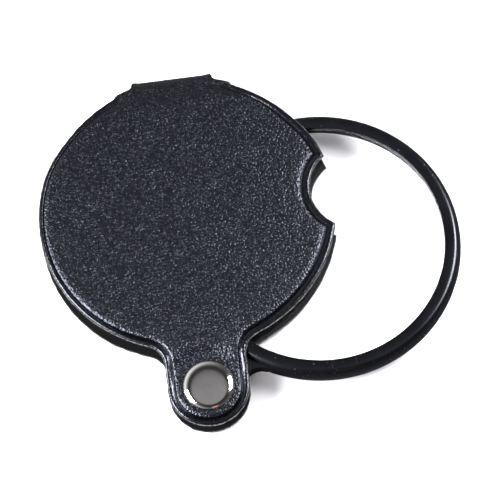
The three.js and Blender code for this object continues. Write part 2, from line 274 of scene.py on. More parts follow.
def raised_outline(name: str, outline: Sequence[Flat], low: float, high: float) -> Thing:
    """Fill an outline and extrude it upwards.

    Args:
        name: The new piece's name.
        outline: The outline's points in millimetres.
        low: The height of its lower face.
        high: The height of its upper face.

    Returns:
        The piece.
    """
    deselect_all()
    bpy.ops.mesh.primitive_circle_add(vertices=len(outline), radius=RAW_SIZE, fill_type="NGON")
    piece = bpy.context.object
    piece.name = name
    for vertex, (x, y) in zip(piece.data.vertices, outline):
        vertex.co = Vector((x, y, low)) * MM
    bpy.ops.object.mode_set(mode="EDIT")
    bpy.ops.mesh.select_all(action="SELECT")
    bpy.ops.mesh.extrude_region_move(TRANSFORM_OT_translate={"value": (0, 0, (high - low) * MM)})
    bpy.ops.object.mode_set(mode="OBJECT")
    settle(piece)
    return piece


def combine(piece: Thing, other: Thing, operation: str) -> None:
    """Join another solid to a piece or cut it away, and remove the other.

    Args:
        piece: The solid that stays.
        other: The solid that is used up.
        operation: UNION or DIFFERENCE.
    """
    activate(piece)
    cut = piece.modifiers.new("combine", "BOOLEAN")
    cut.operation = operation
    cut.solver = "EXACT"
    cut.object = other
    bpy.ops.object.modifier_apply(modifier=cut.name)
    bpy.data.objects.remove(other, do_unlink=True)


def round_tool(centre: Flat, radius: float, length: float, sides: int) -> Thing:
    """Make an upright cylinder to cut with, its middle at the lens's height.

    Args:
        centre: Its x and y, in millimetres.
        radius: Its radius, in millimetres.
        length: Its length, in millimetres.
        sides: How many sides it has.

    Returns:
        The cylinder.
    """
    deselect_all()
    place = (centre[0] * MM, centre[1] * MM, MID_HEIGHT * MM)
    bpy.ops.mesh.primitive_cylinder_add(vertices=sides, radius=radius * MM, depth=length * MM, location=place)
    tool = bpy.context.object
    freeze(tool)
    return tool


def punch(piece: Thing) -> None:
    """Punch the hole for the rivet's tube through a piece."""
    combine(piece, round_tool(PIVOT, HOLE_RADIUS, PUNCH_LENGTH, PUNCH_SIDES), "DIFFERENCE")


# ---- Node trees and finishes ----


class Nodes:
    """A node tree, with short ways to add to it."""

    def __init__(self, tree: bpy.types.NodeTree) -> None:
        """Work on a tree."""
        self.tree = tree

    def link(self, source: Socket, target: Socket) -> None:
        """Join two sockets."""
        self.tree.links.new(source, target)

    def feed(self, node: bpy.types.Node, inputs: Mapping[str | int, Feed]) -> None:
        """Link a node's inputs to sockets, or set them to constants."""
        for key, value in inputs.items():
            if isinstance(value, Socket):
                self.link(value, node.inputs[key])
            else:
                node.inputs[key].default_value = value

    def add(self, kind: str, inputs: Mapping[str | int, Feed] | None = None) -> bpy.types.Node:
        """Add a node of one kind and feed its inputs."""
        node = self.tree.nodes.new(kind)
        self.feed(node, inputs or {})
        return node

    def sum(self, a: Feed, b: Socket, weight: float) -> Socket:
        """Return a plus weight times b."""
        node = self.add("ShaderNodeMath", {0: b, 1: weight, 2: a})
        node.operation = "MULTIPLY_ADD"
        return node.outputs["Value"]

    def product(self, a: Socket, b: Socket) -> Socket:
        """Return a times b."""
        node = self.add("ShaderNodeMath", {0: a, 1: b})
        node.operation = "MULTIPLY"
        return node.outputs["Value"]

    def ramp(self, value: Socket, ends: Flat, low: Feed, high: Feed) -> Socket:
        """Map a value to another range, and hold it inside that range.

        Args:
            value: The value.
            ends: What it is at the low and at the high end.
            low: What the low end becomes.
            high: What the high end becomes.

        Returns:
            The mapped value.
        """
        limits = {"From Min": ends[0], "From Max": ends[1], "To Min": low, "To Max": high}
        return self.add("ShaderNodeMapRange", {"Value": value, **limits}).outputs["Result"]

    def smooth_ramp(self, value: Socket, ends: Flat, low: Feed, high: Feed) -> Socket:
        """Map a value as ramp does, but ease in and out."""
        mapped = self.ramp(value, ends, low, high)
        mapped.node.interpolation_type = "SMOOTHSTEP"
        return mapped


class Surface(Nodes):
    """A new material, with the textures that the finishes are made of."""

    def __init__(self, name: str) -> None:
        """Start a material with only an output and a Principled shader."""
        self.material = bpy.data.materials.new(name)
        self.material.use_nodes = True
        super().__init__(self.material.node_tree)
        self.tree.nodes.clear()
        self.output = self.add("ShaderNodeOutputMaterial")
        self.shader = self.add("ShaderNodeBsdfPrincipled")
        self.link(self.shader.outputs["BSDF"], self.output.inputs["Surface"])
        self.place = self.add("ShaderNodeTexCoord").outputs["Object"]

    def dress(self, **inputs: Feed) -> None:
        """Feed the shader's inputs, named in lower case with underscores."""
        self.feed(self.shader, {SHADER_INPUTS[name]: value for name, value in inputs.items()})

    def stretched(self, scale: Point, turn: float) -> Socket:
        """Return the object's coordinates, turned about Z by degrees and then scaled."""
        inputs = {"Vector": self.place, "Rotation": (0, 0, math.radians(turn)), "Scale": scale}
        return self.add("ShaderNodeMapping", inputs).outputs["Vector"]

    def noise(
        self, size: float, detail: float = 2.0, rough: float = 0.5, place: Socket | None = None
    ) -> Socket:
        """Add a noise.

        Args:
            size: How far apart its lumps are, in millimetres.
            detail: How many finer octaves it has.
            rough: How strong those are.
            place: The coordinates it reads, or the object's own.

        Returns:
            Its value, from 0 to 1.
        """
        inputs = {"Scale": 1 / (size * MM), "Detail": detail, "Roughness": rough}
        return self.add("ShaderNodeTexNoise", {"Vector": place or self.place, **inputs}).outputs["Fac"]

    def cells(self, size: float, smooth: float) -> Socket:
        """Add rounded cells some millimetres apart, and return the distance from each one's middle."""
        node = self.add("ShaderNodeTexVoronoi")
        node.feature = "SMOOTH_F1"
        self.feed(node, {"Vector": self.place, "Scale": 1 / (size * MM), "Smoothness": smooth})
        return node.outputs["Distance"]

    def colours(self, value: Socket, low: Point, high: Point) -> Socket:
        """Blend from one colour to another as a value goes from 0 to 1."""
        node = self.add("ShaderNodeMix")
        node.data_type = "RGBA"
        self.link(value, node.inputs["Factor"])
        for name, colour in (("A", low), ("B", high)):
            socket = next(s for s in node.inputs if s.name == name and s.type == "RGBA")
            socket.default_value = (*colour, 1)
        return next(s for s in node.outputs if s.type == "RGBA")

    def bump(self, height: Socket, depth: float, strength: float = 1.0) -> None:
        """Give the shader a relief some millimetres deep."""
        inputs = {"Height": height, "Strength": strength, "Distance": depth * MM}
        self.dress(normal=self.add("ShaderNodeBump", inputs).outputs["Normal"])


@dataclass(frozen=True)
class GrainedLeather:
    """Black coated leather with a fine pebble grain, smoother and glossier where it is pressed flat.

    rough holds the roughness of the grain and of the pressed border. pressed_relief and pressed_shade say
    how much of the grain's depth and of its painted glints the border keeps: the crowns' lighter colour is
    painted glints, and the border's smaller share of them is painted shade.
    """

    pebble: float = 0.6
    pebble_round: float = 0.25
    pebble_reach: Flat = (0.0, 0.75)
    pebble_shade: float = 0.25
    pore: float = 0.3
    pore_share: float = 0.9
    crease: float = 2.6
    crease_share: float = 0.04
    valley: Point = (0.0003, 0.0003, 0.0005)
    # crown is painted glints: the grain's crowns are painted lighter to stand in for the sparkle of their
    # gloss
    crown: Point = (0.012, 0.0126, 0.0192)
    glint_crown_from: Flat = (0.68, 0.81)
    rough: Flat = (0.28, 0.21)
    crown_polish: float = 0.06
    relief: float = 0.1
    pressed_relief: float = 0.25
    # pressed_shade is painted shade: the share of the painted glints that the pressed border keeps
    pressed_shade: float = 0.3
    specular: float = 0.45
    tint: Point = (0.78, 0.82, 1.0)

    def material(self) -> bpy.types.Material:
        """Return the finish's material."""
        surface = Surface("grained_leather")
        pebbles = surface.ramp(surface.cells(self.pebble, self.pebble_round), self.pebble_reach, 1.0, 0.0)
        pores = surface.noise(self.pore, detail=1)
        creases = surface.noise(self.crease, detail=3)
        pressed = surface.add("ShaderNodeAttribute")
        pressed.attribute_name = PRESSED
        flatness = pressed.outputs["Fac"]
        grain = surface.sum(surface.sum(pebbles, pores, self.pore_share), creases, self.crease_share)
        depth = surface.ramp(flatness, SPAN, 1.0, self.pressed_relief)
        surface.bump(surface.product(grain, depth), self.relief)
        # Painted glints: the grain's crowns are painted lighter, and the pressed border keeps only the
        # pressed_shade share of them, as painted shade.
        tops = surface.sum(pores, pebbles, self.pebble_shade)
        glint_crowns = surface.ramp(tops, self.glint_crown_from, 0.0, 1.0)
        painted_glints = surface.product(glint_crowns, surface.ramp(flatness, SPAN, 1.0, self.pressed_shade))
        gloss = surface.ramp(flatness, SPAN, *self.rough)
        surface.dress(
            base_color=surface.colours(painted_glints, self.valley, self.crown),
            roughness=surface.sum(gloss, glint_crowns, -self.crown_polish),
            specular=self.specular,
            tint=(*self.tint, 1),
        )
        return surface.material


@dataclass(frozen=True)
class CutFoam:
    """Light grey foam sheet, torn along its cut edge and flecked near black; its light flecks are partly its
    own grey, partly painted glints.
    """

    dark: Point = (0.002, 0.002, 0.0025)
    light: Point = (0.09, 0.09, 0.09)
    fleck: float = 0.55
    fleck_from: Flat = (0.40, 0.62)
    pore: float = 0.12
    relief: float = 0.03

    def material(self) -> bpy.types.Material:
        """Return the finish's material."""
        surface = Surface("cut_foam")
        # The light flecks are partly the foam's own grey and partly painted glints along its cut edge.
        flecks_and_painted_glints = surface.ramp(surface.noise(self.fleck, detail=4, rough=0.7), self.fleck_from, 0.0, 1.0)
        surface.dress(base_color=surface.colours(flecks_and_painted_glints, self.dark, self.light), roughness=0.9)
        surface.bump(surface.noise(self.pore, detail=3), self.relief)
        return surface.material


@dataclass(frozen=True)
class SmoothLining:
    """Black coated cloth with a faint fine weave."""

    dark: Point = (0.0006, 0.0006, 0.0009)
    light: Point = (0.0022, 0.0022, 0.003)
    thread: float = 0.35
    waver: float = 0.6
    relief: float = 0.03
    mottle: float = 5.0
    mottle_from: Flat = (0.2, 1.3)

    def _threads(self, surface: Surface, turn: float) -> Socket:
        """Return the height of the threads that run one way, turned by degrees."""
        inputs = {"Vector": surface.stretched((1, 1, 1), turn), "Scale": 1 / (self.thread * MM * WAVE_BANDS)}
        return surface.add("ShaderNodeTexWave", {**inputs, "Distortion": self.waver}).outputs["Fac"]

    def material(self) -> bpy.types.Material:
        """Return the finish's material."""
        surface = Surface("smooth_lining")
        weave = surface.product(self._threads(surface, 0), self._threads(surface, 90))
        surface.bump(weave, self.relief, strength=0.6)
        patches = surface.sum(weave, surface.noise(self.mottle), weight=1.0)
        mottle = surface.ramp(patches, self.mottle_from, 0.0, 1.0)
        surface.dress(base_color=surface.colours(mottle, self.dark, self.light), roughness=0.8, specular=0.08)
        return surface.material


@dataclass(frozen=True)
class GreyCard:
    """Stiffening card with short fibres."""

    dark: Point = (0.26, 0.22, 0.16)
    light: Point = (0.44, 0.38, 0.29)
    fibre: float = 0.8
    fibre_stretch: Point = (1.0, 0.2, 1.0)
    fibre_turn: float = 25.0
    relief: float = 0.03

    def material(self) -> bpy.types.Material:
        """Return the finish's material."""
        surface = Surface("grey_card")
        along = surface.stretched(self.fibre_stretch, self.fibre_turn)
        fibres = surface.noise(self.fibre, detail=5, place=along)
        surface.dress(base_color=surface.colours(fibres, self.dark, self.light), roughness=0.88)
        surface.bump(fibres, self.relief)
        return surface.material


@dataclass(frozen=True)
class SatinPlastic:
    """Black moulded plastic with hairline scratches and a little dust.

    speck_edge says how far from its middle a speck of dust fades out, and hair_from and cloud_from where in
    their noises the scratches and the duller clouds set in.
    """

    name: str = "satin_plastic"
    body: Point = (0.0006, 0.0007, 0.0012)
    dusty: Point = (0.02, 0.021, 0.025)
    rough: Flat = (0.22, 0.30)
    speck: float = 2.4
    speck_edge: Flat = (0.05, 0.09)
    hair: float = 0.5
    hair_stretch: Point = (1.0, 0.06, 1.0)
    hair_turn: float = 35.0
    hair_from: Flat = (0.69, 0.75)
    cloud: float = 6.0
    cloud_from: Flat = (0.3, 0.7)
    pit: float = 0.25
    relief: float = 0.008
    specular: float = 0.38
    tint: Point = (0.84, 0.87, 1.0)

    def material(self) -> bpy.types.Material:
        """Return the finish's material."""
        surface = Surface(self.name)
        specks = surface.ramp(surface.cells(self.speck, smooth=0.0), self.speck_edge, 1.0, 0.0)
        hair = surface.noise(self.hair, place=surface.stretched(self.hair_stretch, self.hair_turn))
        hairlines = surface.ramp(hair, self.hair_from, 0.0, 1.0)
        marks = surface.sum(specks, hairlines, weight=0.5)
        cloud = surface.ramp(surface.noise(self.cloud, detail=4), self.cloud_from, *self.rough)
        pitted = surface.sum(surface.noise(self.pit, detail=3), hairlines, weight=-0.6)
        surface.bump(pitted, self.relief, strength=0.6)
        surface.dress(
            base_color=surface.colours(marks, self.body, self.dusty),
            roughness=surface.sum(cloud, marks, weight=0.2),
            specular=self.specular,
            tint=(*self.tint, 1),
        )
        return surface.material


@dataclass(frozen=True)
class PolishedChrome:
    """Bright plated steel with fine handling marks."""

    plate: Point = (0.67, 0.645, 0.635)
    hazy: Point = (0.55, 0.52, 0.51)
    rough: Flat = (0.06, 0.12)
    haze: float = 2.2
    haze_from: Flat = (0.35, 0.7)
    hair: float = 0.6
    hair_stretch: Point = (1.0, 0.08, 1.0)
    hair_turn: float = -20.0
    ripple: float = 3.5
    ripple_share: float = 1.5
    relief: float = 0.006

    def material(self) -> bpy.types.Material:
        """Return the finish's material."""
        surface = Surface("polished_chrome")
        haze = surface.noise(self.haze, detail=4)
        along = surface.stretched(self.hair_stretch, self.hair_turn)
        hair = surface.noise(self.hair, detail=3, place=along)
        waves = surface.sum(hair, surface.noise(self.ripple), self.ripple_share)
        surface.bump(waves, self.relief, strength=0.5)
        surface.dress(
            base_color=surface.colours(haze, self.plate, self.hazy),
            roughness=surface.ramp(haze, self.haze_from, *self.rough),
            metallic=1.0,
        )
        return surface.material


@dataclass(frozen=True)
class ClearGlass:
    """Clear optical glass. Light from the lamps passes it, so the ground under the lens stays lit."""

    bend: float = 1.5
    tint: Point = (0.985, 0.99, 0.995)
    smear: float = 9.0
    smear_from: Flat = (0.5, 0.8)
    smear_rough: float = 0.03

    def material(self) -> bpy.types.Material:
        """Return the finish's material."""
        surface = Surface("clear_glass")
        streaks = surface.noise(self.smear, detail=3)
        smears = surface.ramp(streaks, self.smear_from, 0.0, self.smear_rough)
        surface.dress(base_color=(*self.tint, 1), roughness=smears, transmission=1.0, ior=self.bend)
        shadow = surface.add("ShaderNodeLightPath").outputs["Is Shadow Ray"]
        clear = surface.add("ShaderNodeBsdfTransparent").outputs["BSDF"]
        mix = surface.add("ShaderNodeMixShader", {0: shadow, 1: surface.shader.outputs["BSDF"], 2: clear})
        surface.link(mix.outputs["Shader"], surface.output.inputs["Surface"])
        return surface.material


# ---- Putting a piece in the model ----


def install(
    piece: Thing, body: Body, material: bpy.types.Material, stands_for: Sequence[str]
) -> None:
    """Dress a finished piece and hand it to the frame.

    Args:
        piece: The piece.
        body: The body that it rides on.
        material: Its material.
        stands_for: The frame's nodes that it replaces.
    """
    piece.data.materials.clear()
    piece.data.materials.append(material)
    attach(piece, body.value)
    if stands_for:
        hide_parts(*stands_for)
    log.info("%s: %d faces, on %s", piece.name, len(piece.data.polygons), body.value)


def dress_node(node: str, material: bpy.types.Material) -> None:
    """Give one of the frame's own nodes a finish."""
    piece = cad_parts[node]
    piece.data.materials.clear()
    piece.data.materials.append(material)
    log.info("%s: kept, dressed in %s", node, material.name)


# ---- The case ----


@dataclass
class CaseBlank:
    """The case's blank, laid out flat: its front panel, the bend and its back panel, one above the other.

    The front panel's disc is centred on the origin. s runs up the blank, and the middle of the bend is at
    bend_middle.
    """

    body_radius: float = 36.0
    tail_radius: float = 9.5
    neck_fillet: float = 5.5
    fold_half_width: float = 10.0
    fold_fillet: float = 1.8
    fold_start: float = 33.1
    bend_radius: float = 4.25
    notch_radius: float = 11.0
    notch_centre: float = 41.1
    notch_shifts: Flat = (0.8, -0.4)

    @property
    def bend_middle(self) -> float:
        """Return how far up the blank the middle of the bend is."""
        return self.fold_start + self.bend_radius * math.pi / 2

    def _notch(self, inset: float, shift: float) -> tuple[Flat, float, Flat, Flat]:
        """Return the notch's centre and radius, and its lower and upper corners on the body."""
        centre = (self.notch_centre, shift)
        cut = self.notch_radius + inset
        body = self.body_radius - inset
        apart = math.hypot(*centre)
        along = (body**2 - cut**2 + apart**2) / (2 * apart)
        aside = math.sqrt(body**2 - along**2)
        ux, uy = centre[0] / apart, centre[1] / apart
        lower = (ux * along + uy * aside, uy * along - ux * aside)
        upper = (ux * along - uy * aside, uy * along + ux * aside)
        return centre, cut, lower, upper

    def _side(self, inset: float, shift: float, notched: bool) -> list[Flat]:
        """Trace a panel's right side, from the tail's end to short of the bend's middle.

        Args:
            inset: How far inside the blank's edge the line runs.
            shift: How far above the body's centre the notch is.
            notched: False for the side with no notch.

        Returns:
            The points, as many at any inset.
        """
        body = self.body_radius - inset
        tail = self.tail_radius - inset
        neck = fillet_centre(self.body_radius, self.tail_radius, self.neck_fillet, down=True)
        fold = fillet_centre(self.body_radius, self.fold_half_width, self.fold_fillet, down=False)
        centre, cut, lower, upper = self._notch(inset, shift)
        low, high = bearing(ORIGIN, lower), bearing(ORIGIN, upper)
        counts = SIDE_POINTS
        points = arc(PIVOT, tail, -90, 0, counts["tail"])
        points += straight((tail, PIVOT[1]), (tail, neck[1]), counts["tail_side"])
        points += arc(neck, self.neck_fillet + inset, 180, bearing(neck, ORIGIN), counts["neck"])
        points += arc(ORIGIN, body, bearing(ORIGIN, neck), low, counts["below_notch"])
        if notched:
            start, end = bearing(centre, lower) % 360, bearing(centre, upper) % 360
            points += arc(centre, cut, start, end, counts["notch"])
        else:
            points += arc(ORIGIN, body, low, high, counts["notch"])
        points += arc(ORIGIN, body, high, bearing(ORIGIN, fold), counts["above_notch"])
        points += arc(fold, self.fold_fillet + inset, bearing(fold, ORIGIN) % 360, 180, counts["fold"])
        side = self.fold_half_width - inset
        points += straight((side, fold[1]), (side, self.bend_middle), counts["bend"])
        return points

    def ring(self, inset: float) -> list[Flat]:
        """Trace the whole blank at an inset, up its right side and down its left side."""
        middle = self.bend_middle
        sides = []
        for notched in (True, False):
            front = self._side(inset, self.notch_shifts[0], notched)
            back = self._side(inset, self.notch_shifts[1], notched)
            turn = [(self.fold_half_width - inset, middle)]
            sides.append(front + turn + [(x, 2 * middle - s) for x, s in reversed(back)])
        left = [(-x, s) for x, s in reversed(sides[1][1:-1])]
        return sides[0] + left

    def frayed_ring(self, inset: float, fray: float, phase: float) -> list[Flat]:
        """Trace the blank as a knife cut it, a little uneven.

        Args:
            inset: How far inside the blank's edge the line runs on average.
            fray: How far it strays.
            phase: Shifts the unevenness, so that no two layers match.

        Returns:
            The points, as many as ring gives.
        """
        points = []
        for (x, s), (x2, s2) in zip(self.ring(inset), self.ring(inset + 1)):
            stray = sum(a * math.sin(across * x + up * s + n * phase) for a, across, up, n in FRAY_WAVES)
            points.append((x + (x2 - x) * stray * fray, s + (s2 - s) * stray * fray))
        return points

    def towards_spine(self, ring: Sequence[Flat], share: float) -> list[Flat]:
        """Move a ring's points a share of the way to the blank's middle line, each to its own height."""
        count = len(ring)
        half = count // 2
        moved = []
        for i, (x, s) in enumerate(ring):
            across = ring[(count - i) % count] if 0 < i % half else ring[i]
            moved.append((x * (1 - share), lerp(s, (s + across[1]) / 2, share)))
        return moved

    def edge_distance(self, x: float, s: float) -> float:
        """Return about how far a point lies inside its panel's edge."""
        y = min(s, 2 * self.bend_middle - s)
        inside_body = self.body_radius - math.hypot(x, y)
        below_pivot = min(0.0, y + PIVOT_DROP)
        inside_tail = self.tail_radius - math.hypot(x, below_pivot)
        return max(inside_body, inside_tail) if y < 0 else inside_body


@dataclass
class Fold:
    """How the flat blank lies once it is folded round the lens and riveted.

    The pairs say where something sets in and where it is at its full strength: in degrees from the top of the
    case for drawn and spread, and in millimetres for dish, stray_reach and curl_width.
    """

    blank: CaseBlank
    gap: float = 3.3
    tail_gap: float = 2.0
    dish_shift: float = 2.5
    dish: Flat = (9.0, 14.0)
    curl: float = 0.22
    curl_width: Flat = (2.2, 0.2)
    drawn_in: float = 0.72
    drawn_from: Flat = (17, 27)
    drawn_to: Flat = (47, 71)
    back_spread: float = 0.32
    spread_from: Flat = (60, 85)
    spread_to: Flat = (140, 155)
    stray_reach: Flat = (22, 34)

    def _outline_stray(self, x: float, y: float, side: float) -> float:
        """Return how far the made case's edge strays outwards from the blank's circle.

        Either side of the bend the leather is drawn in by the fold, and the back panel spreads a little.
        """
        from_top = math.degrees(math.atan2(abs(x), y))
        near_fold = rise(from_top, *self.drawn_from) * (1 - rise(from_top, *self.drawn_to))
        free = rise(from_top, *self.spread_from) * (1 - rise(from_top, *self.spread_to))
        spread = self.back_spread * free if side < 0 else 0.0
        return spread - self.drawn_in * near_fold

    def inner_gap(self, x: float, y: float) -> float:
        """Return the height of the lining's inner face over the middle plane."""
        reach = math.hypot(x, y + PIVOT_DROP + self.dish_shift)
        return lerp(self.tail_gap, self.gap, rise(reach, *self.dish))

    def place(self, x: float, s: float, height: float) -> Point:
        """Put a point of the blank where it lies in the folded case.

        Args:
            x: Across the blank.
            s: Up the blank.
            height: Over the lining's inner face.

        Returns:
            The point in the frame, in millimetres.
        """
        blank = self.blank
        side = 1.0 if s <= blank.bend_middle else -1.0
        y = min(s, 2 * blank.bend_middle - s)
        if y <= blank.fold_start:
            reach = math.hypot(x, y)
            grow = 1 + self._outline_stray(x, y, side) * rise(reach, *self.stray_reach) / max(reach, 1)
            return x * grow, y * grow, MID_HEIGHT + side * (self.inner_gap(x, y) + height)
        angle = (y - blank.fold_start) / blank.bend_radius
        start, end = (blank.fold_half_width - width for width in self.curl_width)
        radius = self.gap + height + self.curl * math.sin(angle) * rise(abs(x), start, end)
        z = MID_HEIGHT + side * radius * math.cos(angle)
        return x, blank.fold_start + radius * math.sin(angle), z


@dataclass
class Layer:
    """One layer of the case, from its outer face round the cut edge to its inner face.

    outer and inner list (inset, height) from the edge inwards. Heights above the border's own fade away
    towards the bend, where the padding ends. On the front the padding sits a little off centre, and shifts
    says whether the outer and the inner face follow it.
    """

    name: str
    outer: Sequence[Flat]
    inner: Sequence[Flat]
    border: Flat
    fray: float
    phase: float
    shifts: tuple[bool, bool] = (False, False)
    crown: float = 0.0
    columns: int = 14


@dataclass
class PaddedCase:
    """The folded case: the leather cover, the foam core, the two boards and the lining.

    fade is where the padding ends towards the bend. pad_shift moves the front's padding, from pad_inset
    inside the edge on, between the heights pad_above and pad_below. pressed_under is how high pressed
    leather is.
    """

    blank: CaseBlank = field(default_factory=CaseBlank)
    fade: Flat = (28.5, 33.6)
    pad_shift: float = -0.5
    pad_inset: Flat = (0.7, 1.6)
    pad_below: Flat = (20, 29)
    pad_above: Flat = (-37, -28)
    fray_inset: float = 1.2
    crown_reach: float = 9
    pressed_under: Flat = (0.9, 1.25)
    crease: float = 38.0
    cover: Layer = field(
        default_factory=lambda: Layer(
            name="leather_case",
            outer=(
                (0.10, 0.64), (0.06, 0.76), (0.09, 0.87), (0.18, 0.95), (0.32, 1.0), (0.55, 1.03),
                (0.8, 1.01), (1.0, 0.95), (1.18, 0.85), (1.32, 0.77), (1.46, 0.76), (1.54, 0.84),
                (1.59, 0.98), (1.65, 1.14), (1.74, 1.29), (1.87, 1.41), (2.05, 1.5), (2.3, 1.565),
                (2.7, 1.61), (3.2, 1.64), (3.6, 1.645),
            ),
            inner=((0.10, 0.60), (1.0, 0.60), (1.8, 0.60), (2.12, 1.2), (2.6, 1.28), (3.6, 1.28)),
            border=(0.96, 0.60),
            fray=0.03,
            phase=0.4,
            shifts=(True, True),
            crown=0.06,
            columns=16,
        )
    )
    core: Layer = field(
        default_factory=lambda: Layer(
            name="foam_sheet",
            outer=(
                (-0.16, 0.40), (-0.17, 0.52), (-0.13, 0.58), (0.05, 0.59), (1.9, 0.57), (2.2, 1.15),
                (2.7, 1.22), (3.6, 1.22),
            ),
            inner=((-0.14, 0.36), (0.3, 0.36), (2.8, 0.36), (2.9, 0.78), (3.6, 0.78)),
            border=(0.57, 0.36),
            fray=0.08,
            phase=2.1,
            shifts=(True, False),
        )
    )
    lining: Layer = field(
        default_factory=lambda: Layer(
            name="case_lining_cloth",
            outer=((0.0, 0.12), (0.0, 0.24), (0.06, 0.31), (1.5, 0.31), (3.6, 0.31)),
            inner=((0.0, 0.10), (0.06, 0.02), (1.5, 0.0), (3.6, 0.0)),
            border=(0.31, 0.0),
            fray=0.04,
            phase=4.4,
        )
    )

    def _lift(self, height: float, border: float, s: float) -> float:
        """Fade a height above the border's towards the bend."""
        y = min(s, 2 * self.blank.bend_middle - s)
        return lerp(height, border, rise(y, *self.fade))

    def _off_centre(self, x: float, s: float, inset: float) -> float:
        """Move a point of the front's padding aside, but not its tail and not the bend."""
        if s > self.blank.bend_middle:
            return x
        on_panel = rise(s, *self.pad_above) * (1 - rise(s, *self.pad_below))
        return x + self.pad_shift * rise(inset, *self.pad_inset) * on_panel

    def _face(
        self, layer: Layer, rows: Sequence[Flat], border: float, crown: float, shifts: bool
    ) -> list[list[Point]]:
        """Lay one face of a layer.

        Args:
            layer: The layer.
            rows: Its (inset, height) rows on this face, from the edge inwards.
            border: The height that the face has at the bend.
            crown: How much further it rises towards the panel's middle.
            shifts: True if the face follows the padding off centre.

        Returns:
            Its rings, from the edge to the middle line.
        """
        fold = Fold(self.blank)
        rings = []
        for inset, height in rows:
            fray = layer.fray * (1 - rise(inset, 0, self.fray_inset))
            flat = self.blank.frayed_ring(inset, fray, layer.phase)
            if shifts:
                flat = [(self._off_centre(x, s, inset), s) for x, s in flat]
            rings.append([fold.place(x, s, self._lift(height, border, s)) for x, s in flat])
        last_inset, last_height = rows[-1]
        base = self.blank.ring(last_inset)
        for column in range(1, layer.columns + 1):
            flat = self.blank.towards_spine(base, column / layer.columns)
            ring = []
            for x, s in flat:
                deep = self.blank.edge_distance(x, s) - last_inset
                height = last_height + crown * rise(deep, 0, self.crown_reach)
                moved = self._off_centre(x, s, last_inset) if shifts else x
                ring.append(fold.place(moved, s, self._lift(height, border, s)))
            rings.append(ring)
        return rings

    def _build_layer(self, layer: Layer) -> Thing:
        """Model one layer as a closed solid with the rivet's holes."""
        outer = self._face(layer, layer.outer, layer.border[0], layer.crown, layer.shifts[0])
        inner = self._face(layer, layer.inner, layer.border[1], 0.0, layer.shifts[1])
        piece = wrapped_sheet(layer.name, [*reversed(outer), *inner])
        punch(piece)
        shade(piece, self.crease)
        return piece

    def _mark_pressed(self, cover: Thing) -> None:
        """Store on the leather where it is pressed flat: along its border, but not over the bend."""
        fold = Fold(self.blank)
        mark = cover.data.attributes.new(PRESSED, "FLOAT", "POINT")
        for i, vertex in enumerate(cover.data.vertices):
            x, y, z = (c / MM for c in vertex.co)
            height = abs(z - MID_HEIGHT) - fold.inner_gap(x, y)
            mark.data[i].value = (1 - rise(height, *self.pressed_under)) * (1 - rise(y, *self.fade))

    def build(self) -> None:
        """Build and dress the three layers, and dress the boards between them."""
        cover = self._build_layer(self.cover)
        self._mark_pressed(cover)
        install(cover, Body.CASE, GrainedLeather().material(), ["leather_cover"])
        core = self._build_layer(self.core)
        install(core, Body.CASE, CutFoam().material(), ["foam_core"])
        lining = self._build_layer(self.lining)
        install(lining, Body.CASE, SmoothLining().material(), ["case_lining"])
        card = GreyCard().material()
        for node in ("front_board", "back_board"):
            dress_node(node, card)


# ---- The rivet ----


@dataclass
class Rivet:
    """The double-cap rivet in the case's tail.

    dome lists shares of a cap's radius and rise: nearly flat in the middle and sloping at the rim. roll lists
    points of its turned-in edge, in from the rim and up from the seat.
    """

    seat: float = 3.75
    cap_radius: float = 6.0
    cap_height: float = 1.2
    wall: float = 0.25
    lip: float = 1.6
    dome: Sequence[Flat] = (
        (1.0, 0.0), (0.997, 0.11), (0.985, 0.225), (0.962, 0.355), (0.925, 0.49), (0.88, 0.62), (0.835, 0.73),
        (0.785, 0.82), (0.72, 0.895), (0.64, 0.945), (0.52, 0.976), (0.3, 0.994), (0.0, 1.0),
    )
    roll: Sequence[Flat] = ((0.16, 0.01), (0.04, 0.09))
    crease: float = 40.0

    def _dome(self, radius: float, foot: float, height: float) -> list[Flat]:
        """Trace a dome from its rim to its top."""
        return [(radius * out, foot + height * up) for out, up in self.dome]

    def _cap(self, name: str, side: float) -> Thing:
        """Spin one cap: a shell whose rim is turned in. side is 1 for the front and -1 for the back."""
        foot = self.seat + self.wall
        outer = self._dome(self.cap_radius, foot, self.cap_height - self.wall)
        inner = self._dome(self.cap_radius - self.wall, foot, self.cap_height - 2 * self.wall)
        mouth = self.cap_radius - self.lip
        rolled = [(mouth, foot), (mouth, self.seat)]
        rolled += [(self.cap_radius - aside, self.seat + up) for aside, up in self.roll]
        profile = [*reversed(inner), *rolled, *outer]
        placed = [(r, MID_HEIGHT + side * z) for r, z in profile]
        piece = spun(name, placed, PIVOT, CAP_STEPS, closed=False)
        shade(piece, self.crease)
        return piece

    def build(self) -> None:
        """Build the two caps, and dress them and the parts that they cover."""
        chrome = PolishedChrome().material()
        for name, side in (("front_cap", 1.0), ("back_cap", -1.0)):
            install(self._cap(name, side), Body.CASE, chrome, [f"rivet_{name}"])
        for node in ("rivet_tube", "rivet_post"):
            dress_node(node, chrome)


# ---- The lens ----


